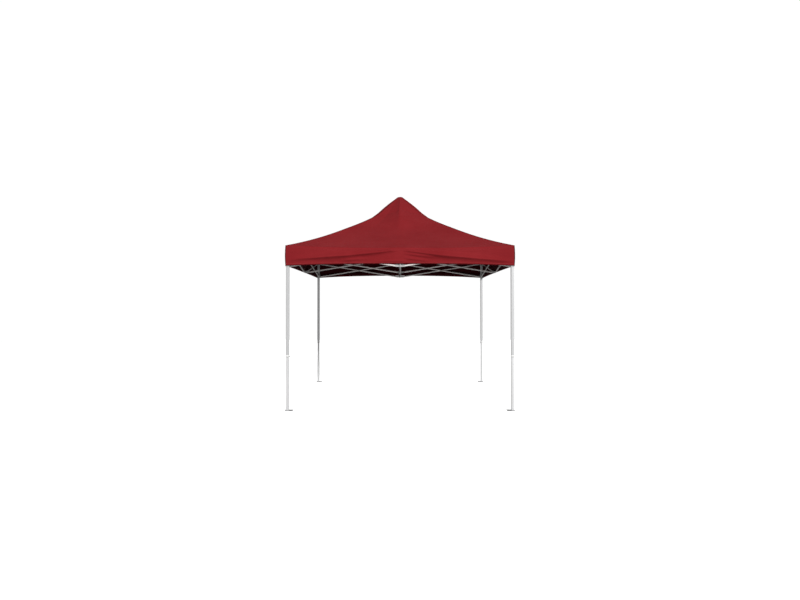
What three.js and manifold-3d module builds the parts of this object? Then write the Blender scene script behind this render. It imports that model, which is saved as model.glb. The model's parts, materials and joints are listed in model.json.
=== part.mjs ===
// A pop up gazebo: a square fabric roof on a folding frame of scissor trusses.
// Millimetres, +Z up. The origin is on the ground, in the middle between the four feet,
// and -Y is the front. Each side of the frame is the same sub-assembly turned by 90 degrees:
// its legs, its two scissors (bars "high" and "low" crossing at a rivet), and the arm that
// joins the middle of the side to the hubs on the centre post.
import * as THREE from "three";
import { mergeVertices } from "three/addons/utils/BufferGeometryUtils.js";
import Module from "manifold-3d";

const wasm = await Module();
wasm.setup();

// ---- driving dimensions ----
const LEG_CENTRE = 1425; // from the middle to a leg's axis, along X and along Y
const UPPER_PIN_Z = 2052; // all upper truss pins, frame open
const LOWER_PIN_Z = 1837; // all lower truss pins, frame open
const PIN_REACH = 55; // from the axis of a leg, bracket or hub to its pins

const OUTER_TUBE = { side: 38, wall: 1.6, bottom: 680, top: 2068, chamfer: 2.5 };
const INNER_TUBE = { side: 32, wall: 1.5, bottom: 6, top: 960, chamfer: 2 };
const GUIDE = { height: 22, gap: 0.4 }; // bushing in the outer tube's lower end
const FOOT = { thick: 6, outward: 30, inward: 65, hole: 5, holeInset: 16 };

const BAR = { high: 20, thick: 12, wall: 1.4, end: 13 }; // end: beyond the pin
const PIN = { radius: 3, hole: 3.7, headRadius: 6.5, head: 3, sides: 6 };
const LUG = { thick: 6, high: 24 };
const LUG_ROOT = 6; // how deep a lug starts inside its bracket or hub
const GAP = 0.5; // between faces that slide on each other
const PIN_FIT = 0.3; // between a knob's tip and the inner tube that it stops at
const SPACER_RADIUS = 9;

const BLOCK_RADIUS = 15; // core of a middle bracket
const BLOCK_BELOW = 3; // how far the core goes below its lugs
const BLOCK_ABOVE = { upper: 1, lower: 3 }; // and above them: the fabric lies close over the upper one
const BLOCK_SIDES = 8;
const HUB_RADIUS = 24;
const HUB_SIDES = 12;
const SLIDER = { wall: 4, fit: 0.5, below: 12, above: 48 };
const CAP = { wall: 3, fit: 0.5, bottom: 2022, top: 2091, bevel: 4 };
const KNOB = { radius: 8, sides: 8, grip: 9, stem: 3, stemRadius: 3 };
const SLIDER_KNOB_Z = LOWER_PIN_Z + 32;
const LEG_KNOB_Z = 690;

const POST = { radius: 12.5, wall: 1.5, bottom: 1795, top: 2560, clearance: 1.6, sides: 12 };
const ROD = { radius: 9, wall: 1.5, bottom: 2210, top: 2938, capRadius: 28, capTop: 2960 };

const ROOF = {
  half: 1452,
  peakZ: 2966,
  peakHalf: 34,
  kneeHalf: 331, // the reinforced cone round the peak ends here
  kneeZ: 2662,
  cornerZ: 2098,
  edgeDip: 32, // the roof's edge is lower in the middle of a side
  hipSag: 52,
  valanceBottomZ: 1842,
  thick: 2.5,
};

// ---- materials ----
const metal = (hex, rough, metalness) =>
  new THREE.MeshStandardMaterial({ color: hex, roughness: rough, metalness });
const legAluminium = metal(0xe3e4e6, 0.35, 0.6);
const barAluminium = metal(0xb4b5b3, 0.4, 0.8);
const nylon = metal(0x77797a, 0.55, 0);
const knobPlastic = metal(0x2a2b2d, 0.5, 0);
const wineFabric = new THREE.MeshStandardMaterial({
  color: 0x8e2a2e,
  roughness: 0.85,
  metalness: 0,
  side: THREE.DoubleSide,
});

// ---- solids: closed geometry in, closed geometry out ----
function solidOf(geometry) {
  const bare = geometry.index ? geometry.toNonIndexed() : geometry.clone();
  const positions = new THREE.BufferGeometry();
  positions.setAttribute("position", bare.getAttribute("position"));
  const merged = mergeVertices(positions, 1e-4);
  return new wasm.Manifold(
    new wasm.Mesh({
      numProp: 3,
      vertProperties: merged.attributes.position.array,
      triVerts: new Uint32Array(merged.index.array),
    }),
  );
}

function geometryOf(solid) {
  const mesh = solid.getMesh();
  const geometry = new THREE.BufferGeometry();
  geometry.setAttribute("position", new THREE.BufferAttribute(mesh.vertProperties, 3));
  geometry.setIndex(new THREE.BufferAttribute(mesh.triVerts, 1));
  geometry.computeVertexNormals();
  return geometry;
}

const joined = (...geometries) =>
  geometryOf(geometries.map(solidOf).reduce((whole, piece) => whole.add(piece)));

const cutFrom = (geometry, ...tools) =>
  geometryOf(tools.map(solidOf).reduce((whole, tool) => whole.subtract(tool), solidOf(geometry)));

// ---- plain shapes ----
// A rectangle with cut corners, centred on the origin.
function chamferedOutline(width, height, chamfer) {
  const x = width / 2;
  const y = height / 2;
  const outline = new THREE.Shape();
  outline.moveTo(x - chamfer, -y);
  outline.lineTo(x, -y + chamfer);
  outline.lineTo(x, y - chamfer);
  outline.lineTo(x - chamfer, y);
  outline.lineTo(-x + chamfer, y);
  outline.lineTo(-x, y - chamfer);
  outline.lineTo(-x, -y + chamfer);
  outline.lineTo(-x + chamfer, -y);
  outline.closePath();
  return outline;
}

function rectangle(width, height, Outline = THREE.Path) {
  const outline = new Outline();
  outline.moveTo(width / 2, -height / 2);
  outline.lineTo(width / 2, height / 2);
  outline.lineTo(-width / 2, height / 2);
  outline.lineTo(-width / 2, -height / 2);
  outline.closePath();
  return outline;
}

function raised(shape, bottom, top) {
  const solid = new THREE.ExtrudeGeometry(shape, { depth: top - bottom, bevelEnabled: false });
  return solid.translate(0, 0, bottom);
}

// An upright square tube with cut corners, open at both ends.
function squareTube(side, innerSide, chamfer, bottom, top) {
  const shape = chamferedOutline(side, side, chamfer);
  shape.holes.push(rectangle(innerSide, innerSide));
  return raised(shape, bottom, top);
}

function box(x0, x1, y0, y1, z0, z1) {
  const solid = new THREE.BoxGeometry(x1 - x0, y1 - y0, z1 - z0);
  return solid.translate((x0 + x1) / 2, (y0 + y1) / 2, (z0 + z1) / 2);
}

const uprightCylinder = (radius, bottom, top, sides) =>
  new THREE.CylinderGeometry(radius, radius, top - bottom, sides)
    .rotateX(Math.PI / 2)
    .translate(0, 0, (bottom + top) / 2);

// A cylinder lying along Y, from y0 to y1.
const crossCylinder = (radius, y0, y1, x = 0, z = 0, sides = PIN.sides) =>
  new THREE.CylinderGeometry(radius, radius, y1 - y0, sides).translate(x, (y0 + y1) / 2, z);

// ---- truss bars: along X, thickness along Y, centred on the rivet ----
const SPAN = LEG_CENTRE - 2 * PIN_REACH;
const RISE = UPPER_PIN_Z - LOWER_PIN_Z;
const BAR_LENGTH = Math.hypot(SPAN, RISE); // pin to pin
const BAR_SLOPE = Math.atan2(RISE, SPAN);
const LAYER = LUG.thick / 2 + GAP + BAR.thick / 2; // a bar's plane, off the plane of the lugs

function barTube(holeCentres) {
  const shape = rectangle(BAR.thick, BAR.high, THREE.Shape);
  shape.holes.push(rectangle(BAR.thick - 2 * BAR.wall, BAR.high - 2 * BAR.wall));
  const length = BAR_LENGTH + 2 * BAR.end;
  const tube = raised(shape, -length / 2, length / 2);
  tube.rotateX(-Math.PI / 2).rotateZ(-Math.PI / 2);
  return cutFrom(tube, ...holeCentres.map((x) => crossCylinder(PIN.hole, -BAR.thick, BAR.thick, x)));
}

// The bar that carries the rivet of its scissor: head, spacer, shank through the other bar, head.
function rivetedBar() {
  const near = BAR.thick / 2;
  const far = 2 * LAYER - near; // near face of the other bar
  const shankEnd = far + BAR.thick + GAP;
  return joined(
    barTube([-BAR_LENGTH / 2, BAR_LENGTH / 2]),
    crossCylinder(PIN.headRadius, -near - PIN.head, -near + BAR.wall / 2),
    crossCylinder(PIN.radius, -near, shankEnd + PIN.head / 2),
    crossCylinder(SPACER_RADIUS, near - BAR.wall / 2, far - GAP),
    crossCylinder(PIN.headRadius, shankEnd, shankEnd + PIN.head),
  );
}

const plainBar = () => barTube([-BAR_LENGTH / 2, 0, BAR_LENGTH / 2]);

// ---- lugs: a tongue along +X at height 0, with a bolt towards +Y (side 1) or -Y (side -1) ----
function lug(start, side) {
  const face = LUG.thick / 2;
  const farFace = LAYER + BAR.thick / 2 + GAP;
  const reach = PIN_REACH + LUG.high / 2;
  const tongue = box(start, reach, -face, face, -LUG.high / 2, LUG.high / 2);
  const along = (from, to) => (side > 0 ? [from, to] : [-to, -from]);
  return joined(
    tongue,
    crossCylinder(PIN.radius, ...along(0, farFace + PIN.head / 2), PIN_REACH),
    crossCylinder(PIN.headRadius, ...along(farFace, farFace + PIN.head), PIN_REACH),
  );
}

// Lugs round one axis: each [turn in degrees, side of its bolt].
const lugsAt = (height, start, list) =>
  list.map(([turn, side]) => {
    const one = lug(start, side).rotateZ(THREE.MathUtils.degToRad(turn));
    return one.translate(0, 0, height);
  });

// ---- brackets and hubs: upright, on their own axis ----
const middleBracket = (pinZ, top, bolts) =>
  joined(
    uprightCylinder(BLOCK_RADIUS, pinZ - LUG.high / 2 - BLOCK_BELOW, top, BLOCK_SIDES),
    ...lugsAt(pinZ, BLOCK_RADIUS - LUG_ROOT, bolts),
  );

// Turns in degrees: 180 is along the side to the left, 0 to the right, 90 inwards.
const upperMiddleBracket = () =>
  middleBracket(UPPER_PIN_Z, UPPER_PIN_Z + LUG.high / 2 + BLOCK_ABOVE.upper, [
    [180, -1],
    [0, 1],
    [90, -1],
  ]);
const lowerMiddleBracket = () =>
  middleBracket(LOWER_PIN_Z, LOWER_PIN_Z + LUG.high / 2 + BLOCK_ABOVE.lower, [
    [180, 1],
    [0, -1],
    [90, 1],
  ]);

const HUB_HALF = LUG.high / 2 + 4; // half the height of a hub
const hubCore = (pinZ, bore) =>
  cutFrom(
    uprightCylinder(HUB_RADIUS, pinZ - HUB_HALF, pinZ + HUB_HALF, HUB_SIDES),
    uprightCylinder(bore, pinZ - 2 * HUB_HALF, pinZ + 2 * HUB_HALF, HUB_SIDES),
  );
const QUARTERS = [0, 90, 180, 270];

// The upper hub slides on the centre post.
const upperHub = () =>
  joined(
    hubCore(UPPER_PIN_Z, POST.radius + POST.clearance),
    ...lugsAt(UPPER_PIN_Z, HUB_RADIUS - LUG_ROOT, QUARTERS.map((turn) => [turn, -1])),
  );

// The lower hub with the outer tube of the centre post pressed into it.
const lowerHubAndPost = () =>
  cutFrom(
    joined(
      uprightCylinder(HUB_RADIUS, LOWER_PIN_Z - HUB_HALF, LOWER_PIN_Z + HUB_HALF, HUB_SIDES),
      uprightCylinder(POST.radius, POST.bottom, POST.top, POST.sides),
      ...lugsAt(LOWER_PIN_Z, HUB_RADIUS - LUG_ROOT, QUARTERS.map((turn) => [turn, 1])),
    ),
    uprightCylinder(POST.radius - POST.wall, POST.bottom + 4, POST.top + 1, POST.sides),
  );

// The centre post's inner tube, with the round pad that holds the fabric's peak up.
const postRod = () =>
  cutFrom(
    joined(
      uprightCylinder(ROD.radius, ROD.bottom, ROD.top, POST.sides),
      new THREE.LatheGeometry(
        [
          new THREE.Vector2(0, ROD.top - 16),
          new THREE.Vector2(ROD.radius + 4, ROD.top - 16),
          new THREE.Vector2(ROD.capRadius, ROD.top + 4),
          new THREE.Vector2(ROD.capRadius, ROD.top + 12),
          new THREE.Vector2(ROD.capRadius - 10, ROD.capTop),
          new THREE.Vector2(0, ROD.capTop),
        ],
        HUB_SIDES,
      ).rotateX(Math.PI / 2),
    ),
    uprightCylinder(ROD.radius - ROD.wall, ROD.bottom - 1, ROD.top - 30, POST.sides),
  );

// ---- leg pieces: upright, on the leg's axis, +X and +Y pointing along the two sides ----
function outerLeg() {
  const { side, wall, bottom, top, chamfer } = OUTER_TUBE;
  const guideSide = INNER_TUBE.side + 2 * GUIDE.gap;
  return joined(
    squareTube(side, side - 2 * wall, chamfer, bottom, top),
    squareTube(side - wall, guideSide, chamfer - wall / 2, bottom, bottom + GUIDE.height),
  );
}

function innerLeg() {
  const { side, wall, bottom, top, chamfer } = INNER_TUBE;
  const { thick, outward, inward, hole, holeInset } = FOOT;
  const plate = cutFrom(
    raised(chamferedOutline(outward + inward, outward + inward, 8), 0, thick).translate(
      (inward - outward) / 2,
      (inward - outward) / 2,
      0,
    ),
    ...[[0, 1], [1, 0], [1, 1]].map(([i, j]) =>
      uprightCylinder(hole, -1, thick + 1, PIN.sides).translate(
        i ? inward - holeInset : 0,
        j ? inward - holeInset : 0,
        0,
      ),
    ),
  );
  return joined(plate, squareTube(side, side - 2 * wall, chamfer, bottom - 1, top));
}

function cornerBracket() {
  const inside = OUTER_TUBE.side + 2 * CAP.fit;
  const outside = inside + 2 * CAP.wall;
  const shell = raised(chamferedOutline(outside, outside, CAP.bevel), CAP.bottom, CAP.top - CAP.bevel);
  const crownSide = outside - 2 * CAP.bevel;
  const crown = raised(chamferedOutline(crownSide, crownSide, 4), CAP.top - CAP.bevel - 1, CAP.top);
  const pocket = box(-inside / 2, inside / 2, -inside / 2, inside / 2, CAP.bottom - 1, OUTER_TUBE.top + 1);
  return joined(
    cutFrom(joined(shell, crown), pocket),
    ...lugsAt(UPPER_PIN_Z, inside / 2 + 1, [[0, -1], [90, 1]]),
  );
}

function cornerSlider() {
  const inside = OUTER_TUBE.side + 2 * SLIDER.fit;
  const outside = inside + 2 * SLIDER.wall;
  const bottom = LOWER_PIN_Z - SLIDER.below;
  const top = LOWER_PIN_Z + SLIDER.above;
  return cutFrom(
    joined(
      squareTube(outside, inside, 6, bottom, top),
      ...lugsAt(LOWER_PIN_Z, inside / 2 + 1, [[0, 1], [90, -1]]),
    ),
    alongX(crossCylinder(KNOB.stemRadius + GAP, inside / 2 - 1, outside / 2 + 1)).translate(
      0,
      0,
      SLIDER_KNOB_Z,
    ),
  );
}

const alongX = (geometry) => geometry.rotateZ(-Math.PI / 2);

// A spring-loaded pull knob along +X, its stem passing through a wall that ends at wallX.
const pullKnob = (tipX, wallX, z) =>
  alongX(
    joined(
      crossCylinder(KNOB.stemRadius, tipX, wallX + KNOB.stem + 1),
      crossCylinder(KNOB.radius, wallX + KNOB.stem, wallX + KNOB.stem + KNOB.grip, 0, 0, KNOB.sides),
    ),
  ).translate(0, 0, z);

const sliderWallX = OUTER_TUBE.side / 2 + SLIDER.fit + SLIDER.wall;
const sliderKnob = () => pullKnob(OUTER_TUBE.side / 2 + SLIDER.fit / 2, sliderWallX, SLIDER_KNOB_Z);
const legKnob = () => pullKnob(INNER_TUBE.side / 2 + PIN_FIT, OUTER_TUBE.side / 2, LEG_KNOB_Z);

const legKnobHole = () =>
  alongX(crossCylinder(KNOB.stemRadius + GAP, INNER_TUBE.side / 2, OUTER_TUBE.side)).translate(
    0,
    0,
    LEG_KNOB_Z,
  );

// ---- the fabric roof with its valance, one closed shell open at the bottom ----
// Height of a hip at a distance (as half-width of its ring) from the middle.
function hipHeight(half) {
  if (half <= ROOF.kneeHalf) {
    const share = (half - ROOF.peakHalf) / (ROOF.kneeHalf - ROOF.peakHalf);
    return THREE.MathUtils.lerp(ROOF.peakZ, ROOF.kneeZ, Math.max(0, share));
  }
  const share = (half - ROOF.kneeHalf) / (ROOF.half - ROOF.kneeHalf);
  return THREE.MathUtils.lerp(ROOF.kneeZ, ROOF.cornerZ, share) - 4 * ROOF.hipSag * share * (1 - share);
}

// along runs from -1 to 1 across a panel, and the panel is lower in its middle towards the edge.
const roofHeight = (half, along) =>
  hipHeight(half) - ROOF.edgeDip * Math.pow(half / ROOF.half, 2) * (1 - along * along);

function canopyShell() {
  const steps = 6; // across one panel
  const rings = [ROOF.peakHalf, ROOF.kneeHalf, 560, 800, 1050, 1280, ROOF.half];
  const points = [];
  const faces = [];
  const around = 4 * steps;
  const addRing = (half, heightAt) => {
    for (let side = 0; side < 4; side++)
      for (let i = 0; i < steps; i++) {
        const along = -1 + (2 * i) / steps;
        const turned = new THREE.Vector3(along * half, -half, heightAt(along)).applyAxisAngle(
          new THREE.Vector3(0, 0, 1),
          (side * Math.PI) / 2,
        );
        points.push(turned.x, turned.y, turned.z);
      }
  };
  const addSkin = (inset) => {
    const first = points.length / 3;
    rings.forEach((half) => {
      const ring = half === ROOF.half ? half - inset : half;
      addRing(ring, (along) => roofHeight(half, along) - inset);
    });
    addRing(ROOF.half - inset, () => ROOF.valanceBottomZ);
    points.push(0, 0, ROOF.peakZ - inset);
    return first;
  };
  const outer = addSkin(0);
  const inner = addSkin(ROOF.thick);
  const quad = (a, b, c, d) => faces.push(a, b, c, a, c, d);
  const last = rings.length; // index of the valance's bottom ring
  const at = (first, ring, i) => first + ring * around + (i % around);
  for (let i = 0; i < around; i++) {
    for (let ring = 0; ring < last; ring++) {
      quad(at(outer, ring, i), at(outer, ring + 1, i), at(outer, ring + 1, i + 1), at(outer, ring, i + 1));
      quad(at(inner, ring, i), at(inner, ring, i + 1), at(inner, ring + 1, i + 1), at(inner, ring + 1, i));
    }
    faces.push(outer + (last + 1) * around, at(outer, 0, i), at(outer, 0, i + 1));
    faces.push(inner + (last + 1) * around, at(inner, 0, i + 1), at(inner, 0, i));
    quad(at(outer, last, i), at(inner, last, i), at(inner, last, i + 1), at(outer, last, i + 1));
  }
  const geometry = new THREE.BufferGeometry();
  geometry.setAttribute("position", new THREE.Float32BufferAttribute(points, 3));
  geometry.setIndex(faces);
  geometry.computeVertexNormals();
  return geometry;
}

// ---- assembly ----
const gazebo = new THREE.Group();

function place(parent, name, geometry, material, x = 0, y = 0, z = 0) {
  const mesh = new THREE.Mesh(geometry, material);
  mesh.name = name;
  mesh.position.set(x, y, z);
  parent.add(mesh);
  return mesh;
}

const shapes = {
  riveted: rivetedBar(),
  plain: plainBar(),
  upperMiddle: upperMiddleBracket(),
  lowerMiddle: lowerMiddleBracket(),
  outerLeg: cutFrom(outerLeg(), legKnobHole()),
  innerLeg: innerLeg(),
  corner: cornerBracket(),
  slider: cornerSlider(),
  sliderKnob: sliderKnob(),
  legKnob: legKnob(),
};

const SCISSOR_CENTRE = LEG_CENTRE / 2;
const SCISSOR_Z = (UPPER_PIN_Z + LOWER_PIN_Z) / 2;

// The four bars of a side. "high" bars hang from the leg tops, outside; "low" bars rise from the sliders.
function addSideScissors(side, name) {
  for (const [end, sign] of [["left", -1], ["right", 1]]) {
    const x = sign * SCISSOR_CENTRE;
    const high = place(side, `bar_${name}_${end}_high`, shapes.riveted, barAluminium);
    high.position.set(x, -LEG_CENTRE - LAYER, SCISSOR_Z);
    high.rotation.y = -sign * BAR_SLOPE;
    const low = place(side, `bar_${name}_${end}_low`, shapes.plain, barAluminium);
    low.position.set(x, -LEG_CENTRE + LAYER, SCISSOR_Z);
    low.rotation.y = sign * BAR_SLOPE;
  }
}

// The two bars from the middle of a side to the hubs.
function addArmScissor(side, name) {
  const outwards = new THREE.Group();
  outwards.rotation.z = -Math.PI / 2;
  outwards.position.set(0, -SCISSOR_CENTRE, SCISSOR_Z);
  side.add(outwards);
  const high = place(outwards, `bar_${name}_arm_high`, shapes.riveted, barAluminium, 0, -LAYER, 0);
  high.rotation.y = BAR_SLOPE;
  const low = place(outwards, `bar_${name}_arm_low`, shapes.plain, barAluminium, 0, LAYER, 0);
  low.rotation.y = -BAR_SLOPE;
}

function addLeg(side, corner) {
  const leg = new THREE.Group();
  leg.position.set(-LEG_CENTRE, -LEG_CENTRE, 0);
  side.add(leg);
  place(leg, `leg_outer_${corner}`, shapes.outerLeg, legAluminium);
  place(leg, `leg_inner_${corner}`, shapes.innerLeg, legAluminium);
  place(leg, `corner_bracket_${corner}`, shapes.corner, nylon);
  place(leg, `corner_slider_${corner}`, shapes.slider, nylon);
  place(leg, `slider_knob_${corner}`, shapes.sliderKnob, knobPlastic);
  place(leg, `leg_knob_${corner}`, shapes.legKnob, knobPlastic);
}

const SIDES = [
  { name: "front", corner: "front_left" },
  { name: "right", corner: "front_right" },
  { name: "back", corner: "back_right" },
  { name: "left", corner: "back_left" },
];

SIDES.forEach(({ name, corner }, quarter) => {
  const side = new THREE.Group();
  side.rotation.z = (quarter * Math.PI) / 2;
  gazebo.add(side);
  addSideScissors(side, name);
  addArmScissor(side, name);
  place(side, `middle_bracket_upper_${name}`, shapes.upperMiddle, nylon, 0, -LEG_CENTRE);
  place(side, `middle_bracket_lower_${name}`, shapes.lowerMiddle, nylon, 0, -LEG_CENTRE);
  addLeg(side, corner);
});

place(gazebo, "hub_upper", upperHub(), nylon);
place(gazebo, "hub_lower_post", lowerHubAndPost(), nylon);
place(gazebo, "post_rod", postRod(), barAluminium);
place(gazebo, "canopy", canopyShell(), wineFabric);

export default gazebo;
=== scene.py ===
import json
import math

import bmesh
import bpy
import numpy as np
from mathutils import Matrix, Vector


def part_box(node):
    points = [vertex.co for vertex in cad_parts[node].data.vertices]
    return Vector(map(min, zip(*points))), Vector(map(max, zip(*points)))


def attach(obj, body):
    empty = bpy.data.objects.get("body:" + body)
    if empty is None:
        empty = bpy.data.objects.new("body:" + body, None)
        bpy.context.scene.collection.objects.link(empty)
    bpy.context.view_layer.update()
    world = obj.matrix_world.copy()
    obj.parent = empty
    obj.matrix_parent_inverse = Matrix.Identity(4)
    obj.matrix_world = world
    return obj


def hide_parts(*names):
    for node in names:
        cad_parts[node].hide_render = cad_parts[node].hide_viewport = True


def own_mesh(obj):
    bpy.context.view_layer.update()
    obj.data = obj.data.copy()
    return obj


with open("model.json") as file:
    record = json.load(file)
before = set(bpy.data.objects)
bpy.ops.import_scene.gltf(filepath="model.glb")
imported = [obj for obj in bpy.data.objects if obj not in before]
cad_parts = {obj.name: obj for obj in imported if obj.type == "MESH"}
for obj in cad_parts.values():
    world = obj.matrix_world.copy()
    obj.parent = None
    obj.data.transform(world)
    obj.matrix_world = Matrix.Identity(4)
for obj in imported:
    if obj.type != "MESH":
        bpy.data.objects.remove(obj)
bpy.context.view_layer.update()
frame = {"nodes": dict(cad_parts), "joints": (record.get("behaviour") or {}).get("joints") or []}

# ---------------------------------------------------------------------------
# Fabric cover: roof panels and valance.
# One square cover of coated woven polyester, sewn from four triangular panels with a valance
# all round. The post stretches it from the middle, and it hangs from the tops of the legs and
# the upper middle brackets. Each half side is a piece of its own, which moves with its folding
# bar.

SIDES = ["front", "right", "back", "left"]
HALVES = ["left", "right"]

cover_low, cover_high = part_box("canopy")
COVER_HALF = cover_high.x - 0.002
PEAK_Z = cover_high.z + 0.004
PEAK_HALF = 0.034
ROUND_TO = 0.80  # the cover is rounder over the post's pad, and square from here on
SHOULDER_Z = PEAK_Z - 0.009
KNEE_HALF = 0.331
KNEE_Z = 2.667
CORNER_Z = 2.095
HIP_SAG = 0.055
EDGE_DIP = 0.031
CORNER_ROUND = 0.005  # the edge bends sharply over the caps and softly between them
MIDDLE_ROUND = 0.026
# The hem hangs lowest at the corners: the height of each side's left and right corner, as seen
# from outside, and how much higher its middle is.
FRONT_HEM_Z = cover_low.z - 0.004
BACK_HEM_Z = cover_low.z - 0.026
HEMS = [
    (FRONT_HEM_Z, FRONT_HEM_Z, 0.025),
    (FRONT_HEM_Z, BACK_HEM_Z, 0.007),
    (BACK_HEM_Z, BACK_HEM_Z, 0.040),
    (BACK_HEM_Z, FRONT_HEM_Z, 0.007),
]

ACROSS = 112  # cells across one side
PEAK_ROWS = 3
CONE_ROWS = 12
ROOF_ROWS = 44
BEND_ROWS = 5
VALANCE_ROWS = 30


def smooth_step(x, low, high):
    s = np.clip((x - low) / (high - low), 0, 1)
    return s * s * (3 - 2 * s)


def hip_height(half):
    """Height of a hip where the cover's square ring has this half width."""
    dome = PEAK_Z - (PEAK_Z - SHOULDER_Z) * (half / PEAK_HALF) ** 2
    cone = SHOULDER_Z + (KNEE_Z - SHOULDER_Z) * (half - PEAK_HALF) / (KNEE_HALF - PEAK_HALF)
    share = (half - KNEE_HALF) / (COVER_HALF - KNEE_HALF)
    lower = KNEE_Z + (CORNER_Z - KNEE_Z) * share - 4 * HIP_SAG * share * (1 - share)
    return np.where(half < PEAK_HALF, dome, np.where(half < KNEE_HALF, cone, lower))


ROOF_SLACK = 0.046
HALF_SLACK = [1.3, 0.3, 0.8, 0.1]  # the left half of each side hangs slacker near the peak
RIDGE_ROUND = 0.035
CONE_FULL = 0.33  # the fabric stands fuller in the middle of a side of the cone than at its hips
CONE_TURN = 0.78


def panel_drop(half, across, side):
    """How far the fabric lies below the hips. It has a soft ridge over the arm in the middle."""
    middle = EDGE_DIP * (half / COVER_HALF) ** 2
    slack = ROOF_SLACK * half * (1 - 0.75 * smooth_step(half, 0.25, 1.2))
    slack = slack * (1 + HALF_SLACK[side] * (across < 0) * (1 - smooth_step(half, 0.3, 0.9)))
    from_ridge = np.sqrt(across**2 + RIDGE_ROUND**2) - RIDGE_ROUND
    cone = CONE_FULL * half * (1 - smooth_step(half, 0.10, ROUND_TO)) * (from_ridge - CONE_TURN)
    return middle * (1 - np.abs(across)) + 4 * slack * from_ridge * (1 - np.abs(across)) + cone


def pull_folds(half, across, side):
    """Shallow folds that fan out from the peak and from the two corners."""
    fan = np.cos(17 * across + 1.3 * side) + 0.7 * np.cos(29 * across + 0.8 + 2.1 * side)
    folds = 0.0017 * fan * np.exp(-((half - 0.35) / 0.42) ** 2)
    for sign in (-1, 1):
        dx = COVER_HALF - sign * across * half
        dy = COVER_HALF - half
        reach = np.hypot(dx, dy)
        angle = np.arctan2(dy, dx)
        fan = np.cos(26 * angle + 0.9 * side + sign) + 0.6 * np.cos(41 * angle - sign)
        folds = folds + 0.0019 * fan * np.exp(-reach / 0.55) * smooth_step(reach, 0.05, 0.3)
    return folds * (1 - across**4) * (1 - smooth_step(half, 1.38, 1.44))


# The folds of the front valance: points (across, down, height in metres, depth as a share of the
# drop). Each fold swells out above its line and turns under below it. The other sides have the
# same folds, mirrored or weaker, because no two sides hang alike.
FOLDS = [
    [
        (-0.99, 0.77, 0.000, 0.08), (-0.87, 0.66, 0.020, 0.09),
        (-0.75, 0.61, 0.032, 0.10), (-0.59, 0.52, 0.052, 0.15),
        (-0.45, 0.45, 0.056, 0.16), (-0.35, 0.36, 0.048, 0.13),
        (-0.19, 0.22, 0.036, 0.10), (-0.08, 0.13, 0.022, 0.08),
        (-0.01, 0.08, 0.000, 0.07),
    ],
    [
        (0.02, 0.08, 0.000, 0.07), (0.10, 0.17, 0.026, 0.08),
        (0.19, 0.26, 0.036, 0.10), (0.29, 0.37, 0.046, 0.13),
        (0.38, 0.46, 0.054, 0.16), (0.54, 0.57, 0.048, 0.14),
        (0.64, 0.64, 0.038, 0.12), (0.78, 0.71, 0.030, 0.10),
        (0.89, 0.76, 0.018, 0.09), (0.99, 0.80, 0.000, 0.08),
    ],
    [(-0.53, 0.79, 0, 0.08), (-0.44, 0.75, 0.016, 0.08), (-0.37, 0.70, 0.015, 0.08), (-0.27, 0.66, 0, 0.07)],
    [(0.03, 0.33, 0, 0.07), (0.10, 0.38, 0.016, 0.07), (0.21, 0.49, 0.018, 0.08), (0.33, 0.60, 0, 0.08)],
    [(0.02, 0.60, 0, 0.07), (0.08, 0.66, 0.013, 0.08), (0.20, 0.78, 0.012, 0.07), (0.28, 0.82, 0, 0.07)],
    [(-0.27, 0.87, 0, 0.06), (-0.12, 0.83, 0.009, 0.06), (0.00, 0.82, 0.009, 0.06), (0.08, 0.83, 0, 0.06)],
    [(-0.72, 0.12, 0, 0.07), (-0.55, 0.17, 0.006, 0.07), (-0.38, 0.16, 0.006, 0.07), (-0.2, 0.10, 0, 0.07)],
    [(0.30, 0.10, 0, 0.07), (0.45, 0.14, 0.006, 0.07), (0.62, 0.13, 0.006, 0.07), (0.8, 0.10, 0, 0.07)],
]
FOLD_STRENGTHS = [1.0, 0.75, 0.85, 0.7]


def valance_billow(across, down, side):
    """How far the valance stands out from the vertical."""
    place = across if side % 2 == 0 else -across
    out = 0.005 * np.sin(math.pi * down) + 0 * across
    for fold in FOLDS:
        points = np.array(fold)
        line, height, under = (np.interp(place, points[:, 0], points[:, k]) for k in (1, 2, 3))
        inside = (place > points[0, 0]) & (place < points[-1, 0])
        away = (down - line) / under
        above = np.exp(-((np.minimum(away, 0) / 1.6) ** 2))
        below = np.exp(-1.1 * np.maximum(away, 0) ** 1.3)
        out = out + FOLD_STRENGTHS[side] * inside * height * np.where(away < 0, above, below)
    out = out + 0.0022 * np.cos(9 * across + side) * np.sin(math.pi * down) * (1 - across**4)
    return out * smooth_step(down, 0.0, 0.10) * (1 - 0.55 * smooth_step(down, 0.84, 1))


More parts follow.
